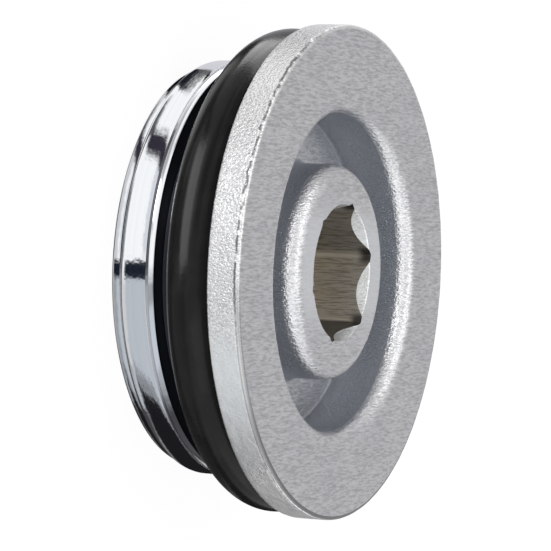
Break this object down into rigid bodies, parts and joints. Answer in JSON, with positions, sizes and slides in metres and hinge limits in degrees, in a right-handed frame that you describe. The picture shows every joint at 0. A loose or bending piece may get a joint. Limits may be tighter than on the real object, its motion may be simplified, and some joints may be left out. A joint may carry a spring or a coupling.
{
  "type": "pipe plug",
  "caption": "Flanged pipe plug with a round pocketed face, a raised boss with a hexagonal key socket, a smooth turned spigot and a rubber sealing ring behind the flange.",
  "frame": {"origin": "centre of the flat rear face, which the plug stands on", "axes": "+Z along the plug's axis, out of the flange's face; two corners of the key socket lie on X"},
  "size_m": [0.048, 0.048, 0.0154],
  "materials": {
    "plated_metal": "grainy bright plating over a casting, mirror bright on the turned spigot",
    "ring_rubber": "smooth matte black rubber"
  },
  "bodies": {
    "root": {"plug_body": "plated_metal", "seal_ring": "ring_rubber"}
  },
  "joints": []
}
